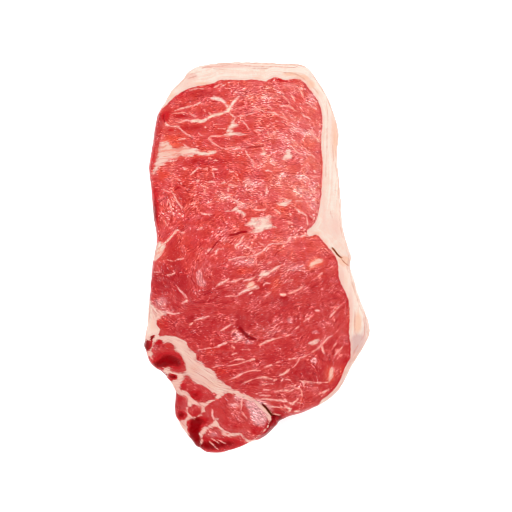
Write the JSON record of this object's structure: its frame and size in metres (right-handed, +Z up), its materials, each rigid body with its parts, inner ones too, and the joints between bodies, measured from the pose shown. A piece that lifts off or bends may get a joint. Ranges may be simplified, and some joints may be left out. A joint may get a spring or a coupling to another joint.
{
  "type": "raw sirloin steak",
  "caption": "Thick raw steak cut across the loin: a marbled eye of two muscle lobes, a cap of fat down the top and right, and a small tail muscle held by fat.",
  "frame": {"origin": "on the floor, under the middle of the outline seen from above", "axes": "+Z up through the thickness; +Y along the length, towards the end with the thick fat cap; +X towards the side with the fat rim"},
  "size_m": [0.1126, 0.1946, 0.0217],
  "materials": {
    "meat": "satin"
  },
  "bodies": {
    "root": {"steak": "meat"}
  },
  "joints": []
}
